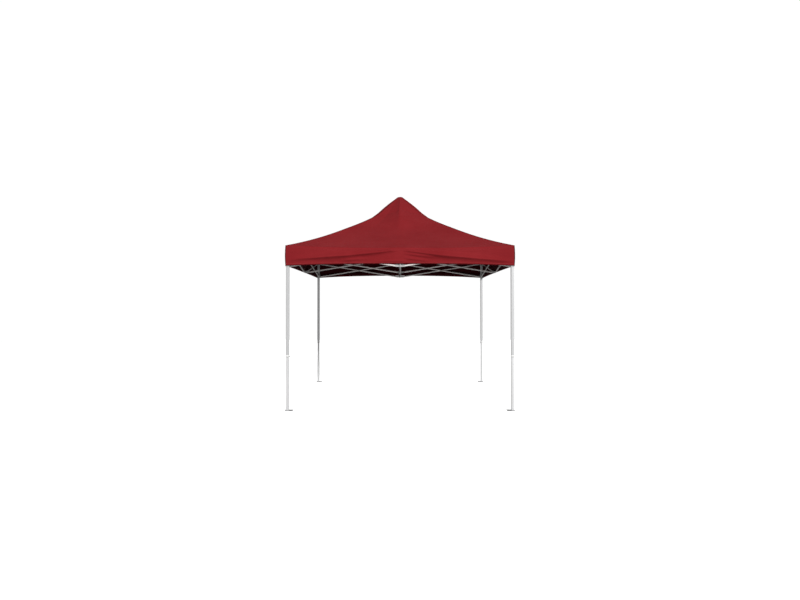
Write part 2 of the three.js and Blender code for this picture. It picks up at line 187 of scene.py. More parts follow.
def side_grid(side):
    """Points of one whole side, rows from the peak to the hem, as seen from the front."""
    across = np.linspace(-1, 1, ACROSS + 1)[None, :]
    bend_round = CORNER_ROUND + (MIDDLE_ROUND - CORNER_ROUND) * (1 - across**8)
    inner_rings = np.concatenate(
        [
            np.linspace(0.002, PEAK_HALF, PEAK_ROWS + 1),
            np.linspace(PEAK_HALF, KNEE_HALF, CONE_ROWS + 1)[1:],
        ]
    )[:, None]
    share = np.linspace(0, 1, ROOF_ROWS + 1)[1:, None]
    roof_rings = KNEE_HALF + (COVER_HALF - bend_round - KNEE_HALF) * share
    ring = np.concatenate([inner_rings + 0 * across, roof_rings])
    height = hip_height(ring) - panel_drop(ring, across, side) + pull_folds(ring, across, side)
    roof = np.stack([across * ring, -ring, height], axis=-1)

    turn = np.linspace(0, math.pi / 2, BEND_ROWS + 1)[1:, None]
    edge_half = COVER_HALF - bend_round + bend_round * np.sin(turn)
    edge_z = height[-1:] - bend_round * (1 - np.cos(turn))
    bend = np.stack([across * edge_half, -edge_half, edge_z], axis=-1)

    down = np.linspace(0, 1, VALANCE_ROWS + 1)[1:, None]
    half = COVER_HALF + valance_billow(across, down, side)
    top_z = edge_z[-1:]
    left_z, right_z, rise = HEMS[side]
    hem_z = left_z + (right_z - left_z) * (across + 1) / 2 + rise * (1 - np.abs(across) ** 2.6)
    valance = np.stack([across * half, -half, top_z + (hem_z - top_z) * down], axis=-1)
    return np.concatenate([roof, bend, valance])


def turned(points, quarters):
    """Points turned about the upright axis, from the front to another side."""
    for _ in range(quarters):
        points = np.stack([-points[..., 1], points[..., 0], points[..., 2]], axis=-1)
    return points


def grid_normals(grid):
    along = np.gradient(grid, axis=1)
    down = np.gradient(grid, axis=0)
    normals = np.cross(down, along)
    return normals / np.linalg.norm(normals, axis=-1, keepdims=True)


def show(name, mesh, *materials):
    """A new object for a mesh, in the collection, with its materials."""
    piece = bpy.data.objects.new(name, mesh)
    for material in materials:
        mesh.materials.append(material)
    bpy.context.scene.collection.objects.link(piece)
    return piece


def takes_place_of(piece, node_name, body):
    """The piece moves with this body and is seen instead of this CAD node."""
    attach(piece, body)
    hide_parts(node_name)


def cloth(name, panels, seams, bindings, materials):
    """Fabric panels with the seams and bindings sewn on. Each is (points, normals, place on the cut)."""
    points, faces, shading, places, kinds = [], [], [], [], []
    parts = [(kind, part) for kind, some in enumerate((panels, seams, bindings)) for part in some]
    for kind, (grid, normal, cut) in parts:
        first = len(points)
        rows, columns = grid.shape[:2]
        points += grid.reshape(-1, 3).tolist()
        shading += normal.reshape(-1, 3).tolist()
        places += cut.reshape(-1, 2).tolist()
        for row in range(rows - 1):
            for column in range(columns - 1):
                corner = first + row * columns + column
                faces.append((corner, corner + columns, corner + columns + 1, corner + 1))
                kinds.append(kind)
    mesh = bpy.data.meshes.new(name)
    mesh.from_pydata(points, [], faces)
    mesh.polygons.foreach_set("material_index", kinds)
    layer = mesh.uv_layers.new(name="cut")
    for loop in mesh.loops:
        layer.data[loop.index].uv = places[loop.vertex_index]
    mesh.shade_smooth()
    mesh.normals_split_custom_set_from_vertices(shading)
    return show(name, mesh, *materials)


def set_inputs(tree, to, values):
    """Sets the inputs of a shader node. Each gets a value or another node's output."""
    for key, value in values.items():
        if isinstance(value, bpy.types.NodeSocket):
            tree.links.new(value, to.inputs[key])
        else:
            to.inputs[key].default_value = value


def node(tree, kind, inputs=None, **settings):
    """A shader node with its settings and its inputs."""
    made = tree.nodes.new("ShaderNode" + kind)
    for key, value in settings.items():
        setattr(made, key, value)
    set_inputs(tree, made, inputs or {})
    return made


def new_material(name):
    material = bpy.data.materials.new(name)
    material.use_nodes = True
    tree = material.node_tree
    return material, tree, tree.nodes["Principled BSDF"]


def noise(tree, at, scale, detail, rough=0.5, distortion=0.0):
    inputs = {"Vector": at, "Scale": scale, "Detail": detail, "Roughness": rough, "Distortion": distortion}
    return node(tree, "TexNoise", inputs).outputs["Fac"]


def ramp(tree, value, low, high, low_color, high_color):
    made = node(tree, "ValToRGB", {"Fac": value})
    made.color_ramp.elements[0].position = low
    made.color_ramp.elements[0].color = (*low_color, 1)
    made.color_ramp.elements[1].position = high
    made.color_ramp.elements[1].color = (*high_color, 1)
    return made.outputs["Color"]


def mix(tree, share, first, second, blend="MIX"):
    inputs = {"Fac": share, "Color1": first, "Color2": second}
    return node(tree, "MixRGB", inputs, blend_type=blend).outputs["Color"]


def spread(tree, value, low, high):
    """A value from 0 to 1 taken to another range."""
    return node(tree, "MapRange", {"Value": value, "To Min": low, "To Max": high}).outputs["Result"]


def bump(tree, height, strength, distance, under=None):
    """Relief, with a coarser or finer one under it."""
    made = node(tree, "Bump", {"Height": height, "Strength": strength, "Distance": distance})
    if under is not None:
        set_inputs(tree, made, {"Normal": under})
    return made.outputs["Normal"]


WINE = (0.232, 0.0150, 0.0185)
WINE_FADED = (0.268, 0.0200, 0.0240)
# The third colour is painted shade, given to the cover's back faces.
WINE_UNDERSIDE_SHADE = (0.034, 0.0020, 0.0040)
YARNS_PER_METRE = 900


def woven_polyester(name, fresh, faded, painted_underside_shade):
    """Plain weave on the cut's own grain, a little faded in patches, with painted shade on its coated back
    face: faces seen from behind get a much darker colour.
    """
    material, tree, shader = new_material(name)
    grain = node(tree, "UVMap", uv_map="cut").outputs["UV"]
    slant = node(tree, "Mapping", {"Vector": grain, "Rotation": (0, 0, 0.9), "Scale": (5, 34, 1)})
    patches = noise(tree, grain, 1.7, 4, 0.62)
    creases = noise(tree, grain, 16, 6, 0.7, 0.6)
    streaks = noise(tree, slant.outputs["Vector"], 1, 4, 0.6, 0.5)
    slubs = noise(tree, grain, 420, 2)
    yarns = {"Vector": grain, "Scale": YARNS_PER_METRE / 20, "Distortion": 0.35, "Detail Scale": 3}
    warp, weft = (node(tree, "TexWave", yarns, bands_direction=way).outputs["Fac"] for way in "XY")
    weave = node(tree, "Math", {0: warp, 1: weft}, operation="MULTIPLY").outputs[0]

    sunned = ramp(tree, patches, 0.36, 0.68, fresh, faded)
    woven = mix(tree, 0.16, sunned, weave, "MULTIPLY")
    slubbed = mix(tree, 0.10, woven, slubs, "OVERLAY")
    # Painted shade: faces seen from behind, the lower face of the cover, take the very dark shade colour.
    back_faces_shade_mask = node(tree, "NewGeometry").outputs["Backfacing"]
    creased = bump(tree, creases, 0.45, 0.006, bump(tree, weave, 0.35, 0.0004))
    looks = {
        "Base Color": mix(tree, back_faces_shade_mask, slubbed, (*painted_underside_shade, 1)),
        "Roughness": spread(tree, creases, 0.55, 0.74),
        "Normal": bump(tree, streaks, 0.40, 0.007, creased),
        "Specular IOR Level": 0.02,
        "Sheen Weight": 0.015,
        "Sheen Roughness": 0.45,
        "Sheen Tint": (1.0, 0.45, 0.45, 1),
    }
    set_inputs(tree, shader, looks)
    return material


wine_cloth = woven_polyester("wine_polyester", WINE, WINE_FADED, WINE_UNDERSIDE_SHADE)

KNEE_ROW = PEAK_ROWS + CONE_ROWS
EDGE_ROW = KNEE_ROW + ROOF_ROWS + BEND_ROWS

side_points = [turned(side_grid(side), side) for side in range(4)]
side_normals = [grid_normals(points) for points in side_points]
flat_grid = side_grid(0)
down_the_cut = np.cumsum(
    np.linalg.norm(np.diff(flat_grid[:, ACROSS // 2], axis=0, prepend=flat_grid[:1, ACROSS // 2]), axis=-1)
)
cut_place = np.stack([flat_grid[..., 0], np.repeat(down_the_cut[:, None], ACROSS + 1, axis=1)], axis=-1)
LEFT, RIGHT = slice(0, ACROSS // 2 + 1), slice(ACROSS // 2, ACROSS + 1)


def gather_roof(piece):
    """Gives the piece a mesh of its own."""
    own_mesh(piece)


def gather_valance(piece):
    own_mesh(piece)


def corner_of(quarter, half):
    """The corner of the frame at the left or right end of a side, seen from outside."""
    return ["front_left", "front_right", "back_right", "back_left"][(quarter + (half == "right")) % 4]


# ---------------------------------------------------------------------------
# Seams and hem of the cover.
# The hips and the valance's corners are felled seams with two rows of stitching, the valance is
# topstitched to the roof, and its lower edge is turned in and stitched as a hem.

SEAM_WIDTH = 0.010
HEM_WIDTH = 0.024
KNEE_BAND = 0.010
CLOTH_LIFT = 0.0009  # one more layer of the cloth
STITCH = 0.0036
THREAD = (0.300, 0.0400, 0.0450)
BINDING_SHADE = (0.22, 0.10, 0.14)  # the binding on the hips, the corners and the hem's edge is painted darker, as painted shade along the outline
BINDING_HIGH = 0.008
ROW_FROM_MIDDLE = 0.33  # in seam widths
THREAD_WIDE = 0.11
STITCH_SHARE = 0.7  # of the thread's length that shows
TUCK = 0.0005  # each sewn band ends this far short of the cloth's edge


def arithmetic(tree, operation, first, second=0.5):
    return node(tree, "Math", {0: first, 1: second}, operation=operation).outputs[0]


def stitched_seam(name, tone):
    """The same cloth in several layers, its colour multiplied by the tone: a dark tone paints shade on it.
    Two rows of stitches run along it, near its two edges.
    """
    material = wine_cloth.copy()
    material.name = name
    tree = material.node_tree
    shader = tree.nodes["Principled BSDF"]
    place = node(tree, "UVMap", uv_map="cut").outputs["UV"]
    apart = node(tree, "SeparateXYZ", {"Vector": place})
    across, along = apart.outputs["X"], apart.outputs["Y"]
    from_middle = arithmetic(tree, "ABSOLUTE", arithmetic(tree, "SUBTRACT", across, 0.5))
    off_row = arithmetic(tree, "ABSOLUTE", arithmetic(tree, "SUBTRACT", from_middle, ROW_FROM_MIDDLE))
    on_row = arithmetic(tree, "LESS_THAN", off_row, THREAD_WIDE / 2)
    beat = arithmetic(tree, "FRACT", arithmetic(tree, "DIVIDE", along, STITCH))
    thread = arithmetic(tree, "MULTIPLY", on_row, arithmetic(tree, "LESS_THAN", beat, STITCH_SHARE))
    cloth_colour = shader.inputs["Base Color"].links[0].from_socket
    cloth_normal = shader.inputs["Normal"].links[0].from_socket
    # A dark tone here is painted shade.
    shaded_by_tone = mix(tree, 1, cloth_colour, (*tone, 1), "MULTIPLY")
    looks = {
        "Base Color": mix(tree, thread, shaded_by_tone, (*THREAD, 1)),
        "Normal": bump(tree, thread, 0.5, 0.0006, cloth_normal),
    }
    set_inputs(tree, shader, looks)
    return material


seam_cloth = stitched_seam("wine_polyester_seam", (1, 1, 1))
# The binding's dark tone is painted shade, a dark line along the cover's outline.
binding_cloth_painted_shade = stitched_seam("wine_polyester_binding_painted_shade", BINDING_SHADE)


def band(points):
    """A sewn band from its grid of points, with its own place for the stitches."""
    rows, columns = points.shape[:2]
    if rows > columns:
        along = np.linalg.norm(np.diff(points[:, 0], axis=0, prepend=points[:1, 0]), axis=-1).cumsum()
        across = np.linspace(0, 1, columns)
        cut = np.stack([np.tile(across, (rows, 1)), np.repeat(along[:, None], columns, axis=1)], axis=-1)
    else:
        along = np.linalg.norm(np.diff(points[0], axis=0, prepend=points[0, :1]), axis=-1).cumsum()
        across = np.linspace(0, 1, rows)
        cut = np.stack([np.repeat(across[:, None], columns, axis=1), np.tile(along, (rows, 1))], axis=-1)
    return points, grid_normals(points), cut


def end_seam(points, normals, half):
    """A felled seam along the end of a half side, where it meets the next side."""
    steps = np.linspace(0, SEAM_WIDTH, 6)
    if half == "left":
        edge, inward = points[:, :1], points[:, 1:2] - points[:, :1]
        normal = normals[:, :1]
    else:
        edge, inward = points[:, -1:], points[:, -2:-1] - points[:, -1:]
        normal = normals[:, -1:]
        steps = steps[::-1]
    inward = inward / np.linalg.norm(inward, axis=-1, keepdims=True)
    lift = CLOTH_LIFT * np.minimum(1, (SEAM_WIDTH - steps) / 0.0015)
    return band(edge + inward * steps[None, :, None] + normal * lift[None, :, None])


def down_the_columns(points, normals, steps, lifts):
    """Points at these distances down each column of the grid, lifted off the cloth."""
    length = np.linalg.norm(np.diff(points, axis=0, prepend=points[:1]), axis=-1).cumsum(axis=0)
    made = np.zeros((len(steps), points.shape[1], 3))
    for column in range(points.shape[1]):
        far = length[-1, column]
        for row, (step, lift) in enumerate(zip(steps, lifts)):
            place = step if step >= 0 else far + step
            for k in range(3):
                at = np.interp(place, length[:, column], points[:, column, k])
                made[row, column, k] = at + lift * np.interp(place, length[:, column], normals[:, column, k])
    return made


def top_seam(points, normals):
    steps = np.linspace(0.006, 0.006 + SEAM_WIDTH, 6)
    lift = CLOTH_LIFT * np.array([0.2, 1, 1, 1, 1, 0.2])
    return band(down_the_columns(points, normals, steps, lift))


def hem(points, normals):
    up = np.linspace(-HEM_WIDTH, -0.001, 8)
    lifts = CLOTH_LIFT * np.minimum(1, (up + HEM_WIDTH) / 0.001 + 0.2)
    outside = down_the_columns(points, normals, up, lifts)
    fold = points[-1:] - np.array([0, 0, 0.0012])
    inside = down_the_columns(points, normals, up, -CLOTH_LIFT * np.ones(len(up)))
    return [band(np.concatenate([outside, fold])), band(np.concatenate([inside, fold]))]


def hem_binding(points, normals):
    steps = np.linspace(-BINDING_HIGH, -TUCK, 4)
    outside = down_the_columns(points, normals, steps, 2 * CLOTH_LIFT * np.ones(4))
    fold = points[-1:] - np.array([0, 0, 0.0020])
    return band(np.concatenate([outside, fold]))


def knee_seam(points, normals):
    steps = np.linspace(-KNEE_BAND, -TUCK, 6)
    lift = CLOTH_LIFT * np.array([0.2, 1, 1, 1, 1, 1])
    return band(down_the_columns(points, normals, steps, lift))


for quarter, side in enumerate(SIDES):
    for half, columns in (("left", LEFT), ("right", RIGHT)):
        for part, rows in (("roof", slice(KNEE_ROW, EDGE_ROW + 1)), ("valance", slice(EDGE_ROW, None))):
            points = side_points[quarter][rows, columns]
            normals = side_normals[quarter][rows, columns]
            seams = []
            bindings = [end_seam(points, normals, half)]
            if part == "valance":
                seams = [top_seam(points, normals), *hem(points, normals)]
                bindings.append(hem_binding(points, normals))
            piece = cloth(
                f"cover_{part}_{side}_{half}",
                [(points, normals, cut_place[rows, columns])],
                seams,
                bindings,
                [wine_cloth, seam_cloth, binding_cloth_painted_shade],
            )
            takes_place_of(piece, "canopy", f"high_{side}_{half}")
            if part == "roof":
                gather_roof(piece)
            else:
                gather_valance(piece)

peak_rows = slice(0, KNEE_ROW + 1)
peak_panels = []
peak_seams = []
peak_bindings = []
for quarter in range(4):
    points = side_points[quarter][peak_rows]
    normals = side_normals[quarter][peak_rows]
    peak_panels.append((points, normals, cut_place[peak_rows]))
    peak_bindings += [end_seam(points[PEAK_ROWS:], normals[PEAK_ROWS:], half) for half in HALVES]
    peak_seams.append(knee_seam(points, normals))
peak = cloth("cover_peak", peak_panels, peak_seams, peak_bindings, [wine_cloth, seam_cloth, binding_cloth_painted_shade])
takes_place_of(peak, "canopy", "post_rod")
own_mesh(peak)

# ---------------------------------------------------------------------------
# Truss bars.
# 24 flat rectangular tubes of mill-finish aluminium with plastic plugs in their ends. Two bars
# cross at a rivet, on a nylon spacer; the outer bar of each pair carries the rivet.

BAR_HIGH = 0.020
BAR_THICK = 0.012
BAR_CORNER = 0.0026
PLUG_PROUD = 0.0012
LAYER = 0.0095  # from the middle of the lugs to the middle of a bar
RIVET_RADIUS = 0.0065
RIVET_HEAD = 0.003
SPACER_RADIUS = 0.009
SMOOTH_ANGLE = math.radians(32)


def rounded_outline(width, height, radius, steps=4):
    """Points round a rectangle with rounded corners, centred on the origin."""
    outline = []
    for quarter, (sx, sy) in enumerate(((1, 1), (-1, 1), (-1, -1), (1, -1))):
        middle = (sx * (width / 2 - radius), sy * (height / 2 - radius))
        for step in range(steps + 1):
            angle = (quarter + step / steps) * math.pi / 2
            outline.append((middle[0] + radius * math.cos(angle), middle[1] + radius * math.sin(angle)))
    return outline


def loft(mesh, sections, place=None, material=0, closed=False):
    """Joins outlines (x, y lists at heights z) with faces. The ends get flat faces, unless it is closed."""
    place = place or Matrix()
    rings = [[mesh.verts.new(place @ Vector((x, y, z))) for x, y in outline] for outline, z in sections]
    count = len(rings[0])
    pairs = list(zip(rings, rings[1:])) + ([(rings[-1], rings[0])] if closed else [])
    made = []
    for low, high in pairs:
        for i in range(count):
            j = (i + 1) % count
            made.append(mesh.faces.new((low[i], low[j], high[j], high[i])))
    if not closed:
        made.append(mesh.faces.new(rings[0][::-1]))
        made.append(mesh.faces.new(rings[-1]))
    for face in made:
        face.material_index = material
    return made


def circle(radius, steps=24):
    return [
        (radius * math.cos(2 * math.pi * i / steps), radius * math.sin(2 * math.pi * i / steps))
        for i in range(steps)
    ]


def turned_part(mesh, profile, place=None, material=0, steps=24, closed=False):
    """A part turned on a lathe: radius and height, from the bottom up."""
    return loft(mesh, [(circle(radius, steps), z) for radius, z in profile], place, material, closed)


def finished(mesh, name, *materials, place=None):
    """The bmesh as an object, smooth with crisp edges."""
    bmesh.ops.recalc_face_normals(mesh, faces=mesh.faces)
    data = bpy.data.meshes.new(name)
    mesh.to_mesh(data)
    mesh.free()
    data.shade_smooth()
    data.set_sharp_from_angle(angle=SMOOTH_ANGLE)
    piece = show(name, data, *materials)
    if place is not None:
        piece.matrix_world = place
    return piece


def worn_edges(tree, colour, sharpest, rubbed):
    """The colour, with its edges rubbed to another one."""
    edge = node(tree, "NewGeometry").outputs["Pointiness"]
    worn = ramp(tree, edge, 0.52, sharpest, (0, 0, 0), (1, 1, 1))
    return mix(tree, worn, colour, (*rubbed, 1))


def worked_metal(name, colour, metallic, rough, along, dirt=0.10):
    """Drawn metal: fine lines along the draw, uneven haze, small dents and scratches."""
    material, tree, shader = new_material(name)
    place = node(tree, "TexCoord").outputs["Object"]
    drawn = [3 if axis == along else 420 for axis in "XYZ"]
    stretch = node(tree, "Mapping", {"Vector": place, "Scale": drawn})
    lines = noise(tree, stretch.outputs["Vector"], 1, 3, 0.6)
    haze = noise(tree, place, 9, 5, 0.6)
    marks = noise(tree, place, 75, 3, distortion=1.4)
    tone = ramp(tree, haze, 0.35, 0.65, [c * (1 - 2 * dirt) for c in colour], colour)
    lined = mix(tree, 0.12, tone, lines, "OVERLAY")
    looks = {
        "Base Color": worn_edges(tree, lined, 0.60, [min(1, c * 1.15) for c in colour]),
        "Metallic": metallic,
        "Roughness": spread(tree, marks, rough - 0.07, rough + 0.10),
        "Normal": bump(tree, marks, 0.08, 0.001, bump(tree, lines, 0.12, 0.0004)),
    }
    set_inputs(tree, shader, looks)
    return material


def moulded_plastic(name, colour, rough):
    """Moulded plastic: a fine spark-eroded grain and faint flow marks, rubbed brighter at the edges."""
    material, tree, shader = new_material(name)
    place = node(tree, "TexCoord").outputs["Object"]
    grain = noise(tree, place, 900, 2)
    flow = noise(tree, place, 22, 4, distortion=0.8)
    tone = ramp(tree, flow, 0.3, 0.7, [c * 0.86 for c in colour], colour)
    looks = {
        "Base Color": worn_edges(tree, tone, 0.62, [min(1, c * 1.25 + 0.02) for c in colour]),
        "Roughness": spread(tree, flow, rough - 0.06, rough + 0.08),
        "Normal": bump(tree, grain, 0.15, 0.0003),
    }
    set_inputs(tree, shader, looks)
    return material


bar_metal = worked_metal("mill_finish_aluminium", (0.60, 0.57, 0.555), 0.7, 0.42, "Z", dirt=0.12)
bolt_steel = worked_metal("zinc_plated_steel", (0.50, 0.50, 0.48), 0.9, 0.34, "Z", dirt=0.08)
dark_nylon = moulded_plastic("dark_nylon", (0.035, 0.035, 0.037), 0.48)


def along_y(y, x=0.0, z=0.0, flip=False):
    """A place for a turned part whose axis lies along Y, upwards being +Y (or -Y when flipped)."""
    turn = Matrix.Rotation(math.pi / 2 if flip else -math.pi / 2, 4, "X")
    return Matrix.Translation((x, y, z)) @ turn


def rivet_head(mesh, place, material):
    flange = 0.0008
    dome = RIVET_HEAD - flange
    profile = [(RIVET_RADIUS + 0.001, 0), (RIVET_RADIUS + 0.001, 0.0007), (RIVET_RADIUS, flange)]
    for share in (0.35, 0.65, 0.88):
        profile.append((RIVET_RADIUS * math.sqrt(1 - share**2.6), flange + dome * share))
    profile.append((0.001, RIVET_HEAD))
    turned_part(mesh, profile, place, material, steps=20)


def bar_ends(name):
    """The middles of a bar's two ends, from its CAD node."""
    points = np.unique(np.array([v.co for v in frame["nodes"][name].data.vertices]).round(6), axis=0)
    long_way = 0 if np.ptp(points[:, 0]) > np.ptp(points[:, 1]) else 1
    place = points[:, long_way]
    return [
        Vector(points[place < place.min() + 0.03].mean(axis=0)),
        Vector(points[place > place.max() - 0.03].mean(axis=0)),
    ]


def truss_bar(name, body, to_other_bar):
    """One bar. Its own Z runs along it and its own Y goes through its thickness, to the other bar."""
    start, end = bar_ends(name)
    along = (end - start).normalized()
    outward = to_other_bar.normalized()
    turn = Matrix((outward.cross(along), outward, along)).transposed().to_4x4()
    low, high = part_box(name)
    wide = max(high.x - low.x, high.y - low.y)
    slope = math.asin(abs(along.z))
    length = (wide - BAR_HIGH * math.sin(slope)) / math.cos(slope)
    mesh = bmesh.new()
    outline = rounded_outline(BAR_HIGH, BAR_THICK, BAR_CORNER)
    small = rounded_outline(BAR_HIGH - 0.0006, BAR_THICK - 0.0006, BAR_CORNER - 0.0003)
    half = length / 2
    edge = 0.0004
    loft(mesh, [(small, -half), (outline, -half + edge), (outline, half - edge), (small, half)])
    flange = rounded_outline(BAR_HIGH - 0.0012, BAR_THICK - 0.0012, BAR_CORNER - 0.0006)
    crown = rounded_outline(BAR_HIGH - 0.005, BAR_THICK - 0.005, 0.0012)
    for sign in (-1, 1):
        face = sign * (half - 0.0005)
        side_end = face + sign * PLUG_PROUD * 0.8
        crown_end = face + sign * (PLUG_PROUD + 0.0005)
        loft(mesh, [(flange, face), (flange, side_end), (crown, crown_end)], material=1)
    if name.endswith("_high"):
        near = BAR_THICK / 2
        far = 2 * LAYER - near
        rivet_head(mesh, along_y(-near, flip=True), 2)
        rivet_head(mesh, along_y(far + BAR_THICK), 2)
        turned_part(mesh, [(SPACER_RADIUS, near), (SPACER_RADIUS, far)], along_y(0), 1)
    piece = finished(mesh, f"truss_{name}", bar_metal, dark_nylon, bolt_steel)
    piece.matrix_world = Matrix.Translation((start + end) / 2) @ turn
    takes_place_of(piece, name, body)


for quarter, side in enumerate(SIDES):
    turn = Matrix.Rotation(quarter * math.pi / 2, 3, "Z")
    inward = turn @ Vector((0, 1, 0))
    rightward = turn @ Vector((1, 0, 0))
    for half in HALVES:
        truss_bar(f"bar_{side}_{half}_high", f"high_{side}_{half}", inward)
        truss_bar(f"bar_{side}_{half}_low", f"low_{side}_{half}", inward)
    truss_bar(f"bar_{side}_arm_high", f"arm_high_{side}", rightward)
    truss_bar(f"bar_{side}_arm_low", f"arm_low_{side}", rightward)

# ---------------------------------------------------------------------------
# Middle brackets.
# Moulded nylon blocks half way along each side, one above the other. Each holds the two bars of
# the side and the arm to the hubs, on three lugs with a bolt through each.

nylon = moulded_plastic("grey_nylon", (0.36, 0.36, 0.355), 0.46)
nylon_light = moulded_plastic("light_nylon", (0.70, 0.70, 0.69), 0.42)
LUG_THICK = 0.006
LUG_HIGH = 0.024
PIN_REACH = 0.055
HEAD_GAP = 0.0005
BOLT_RADIUS = 0.003
BLOCK_RADIUS = 0.015
BLOCK_EDGE = 0.0012
BOSS_RADIUS = 0.0088
WASHER_RADIUS = 0.0074
BOLT_HEAD = (0.0112, 0.003)  # across its flats, and its height
NUT = (0.0100, 0.0028)


def lug_outline(start, inset):
    """A tongue along X with a round end. The inset makes it smaller, for its rounded edges."""
    radius = LUG_HIGH / 2 - inset
    outline = [(start, -radius), (start, radius)]
    for step in range(13):
        angle = math.pi / 2 - math.pi * step / 12
        outline.append((PIN_REACH + radius * math.cos(angle), radius * math.sin(angle)))
    return outline


def hex_part(mesh, size, place, material):
    """A bolt head or nut: six sides with their corners turned off."""
    across, height = size
    corner = across / math.sqrt(3)
    profile = [(corner * 0.93, 0), (corner, 0.0003), (corner, height - 0.0006), (corner * 0.90, height)]
    turned_part(mesh, profile, place, material, steps=6)


def add_lug(mesh, start, turn_deg, bolt_side, height):
    """A lug with its bolt, washers and nut. The bar lies on the side where the bolt goes."""
    place = Matrix.Translation((0, 0, height)) @ Matrix.Rotation(math.radians(turn_deg), 4, "Z")
    upright = place @ Matrix.Rotation(math.pi / 2, 4, "X")
    edge = 0.0008
    half = LUG_THICK / 2
    sections = [(lug_outline(start, edge), -half), (lug_outline(start, 0), -half + edge)]
    sections += [(lug_outline(start, 0), half - edge), (lug_outline(start, edge), half)]
    loft(mesh, sections, upright)
    boss = [(BOSS_RADIUS, half - 0.001), (BOSS_RADIUS, half + 0.0004), (BOSS_RADIUS - 0.0006, half + 0.0005)]
    far = LAYER + BAR_THICK / 2
    flip = bolt_side < 0
    at = place @ Matrix.Translation((PIN_REACH, 0, 0))
    turned_part(mesh, boss, at @ along_y(0, flip=flip))
    washer = [(WASHER_RADIUS, far), (WASHER_RADIUS, far + HEAD_GAP)]
    turned_part(mesh, washer, at @ along_y(0, flip=flip), 1)
    shank = [(BOLT_RADIUS, -half), (BOLT_RADIUS, far + 0.001)]
    turned_part(mesh, shank, at @ along_y(0, flip=flip), 1, steps=12)
    hex_part(mesh, BOLT_HEAD, at @ along_y(bolt_side * (far + HEAD_GAP), flip=flip), 1)
    hex_part(mesh, NUT, at @ along_y(-bolt_side * half, flip=not flip), 1)


def middle_bracket(name, quarter, pin_z, lugs):
    mesh = bmesh.new()
    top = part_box(f"middle_bracket_{name}")[1].z
    bottom = pin_z - LUG_HIGH / 2 - 0.003
    profile = [
        (0.006, bottom + 0.004),
        (0.009, bottom + 0.004),
        (0.0100, bottom),
        (BLOCK_RADIUS - BLOCK_EDGE, bottom),
        (BLOCK_RADIUS - 0.0004, bottom + 0.0004),
        (BLOCK_RADIUS, bottom + BLOCK_EDGE),
        (BLOCK_RADIUS, top - BLOCK_EDGE),
        (BLOCK_RADIUS - 0.0004, top - 0.0004),
        (BLOCK_RADIUS - BLOCK_EDGE, top),
        (0.0100, top),
        (0.009, top - 0.003),
        (0.006, top - 0.003),
    ]
    turned_part(mesh, profile)
    for turn_deg, bolt_side in lugs:
        add_lug(mesh, BLOCK_RADIUS - 0.005, turn_deg, bolt_side, pin_z)
    piece = finished(mesh, f"bracket_middle_{name}", nylon, bolt_steel)
    turn = Matrix.Rotation(quarter * math.pi / 2, 4, "Z")
    piece.matrix_world = turn @ Matrix.Translation((0, -LEG_CENTRE, 0))
    takes_place_of(piece, f"middle_bracket_{name}", f"middle_{name}")


pins = {joint["name"]: Vector(joint["pos_m"]) for joint in frame["joints"] if "pos_m" in joint}
LEG_CENTRE = -pins["middle_pin_front_left"].y
UPPER_PIN_Z = pins["frame_fold"].z
LOWER_PIN_Z = pins["middle_pin_front_left"].z
for quarter, side in enumerate(SIDES):
    middle_bracket(f"upper_{side}", quarter, UPPER_PIN_Z, [(180, -1), (0, 1), (90, -1)])
    middle_bracket(f"lower_{side}", quarter, LOWER_PIN_Z, [(180, 1), (0, -1), (90, 1)])

# ---------------------------------------------------------------------------
# Centre post: two hubs, the outer tube and the rod.
# The arms of the four sides are bolted to two round nylon hubs. The lower hub carries the post,
# the upper one slides on it. The rod in the post is pushed up by a spring and ends in a round pad
# that stretches the fabric.

HUB_RADIUS = 0.024
HUB_HALF = LUG_HIGH / 2 + 0.004
POST_RADIUS = 0.0125
POST_WALL = 0.0015
POST_CLEARANCE = 0.0016
post_low, post_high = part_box("hub_lower_post")
rod_low, rod_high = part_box("post_rod")
ROD_RADIUS = 0.009


def hub(name, node_name, body, pin_z, bore, bolt_side):
    mesh = bmesh.new()
    edge = 0.0015
    rim = 0.0030
    low = pin_z - HUB_HALF
    high = pin_z + HUB_HALF
    waist = HUB_RADIUS - 0.001
    profile = [
        (bore, low + 0.001),
        (bore + 0.001, low),
        (HUB_RADIUS - edge, low),
        (HUB_RADIUS, low + edge),
        (HUB_RADIUS, low + rim),
        (waist, low + rim + 0.0005),
        (waist, high - rim - 0.0005),
        (HUB_RADIUS, high - rim),
        (HUB_RADIUS, high - edge),
        (HUB_RADIUS - edge, high),
        (bore + 0.001, high),
        (bore, high - 0.001),
    ]
    turned_part(mesh, profile, steps=36, closed=True)
    for turn_deg in (0, 90, 180, 270):
        add_lug(mesh, HUB_RADIUS - 0.004, turn_deg, bolt_side, pin_z)
    piece = finished(mesh, name, nylon, bolt_steel)
    takes_place_of(piece, node_name, body)


loose_bore = POST_RADIUS + POST_CLEARANCE
hub("hub_upper_moulding", "hub_upper", "hub_upper", UPPER_PIN_Z, loose_bore, -1)
hub("hub_lower_moulding", "hub_lower_post", "hub_lower", LOWER_PIN_Z, POST_RADIUS, 1)

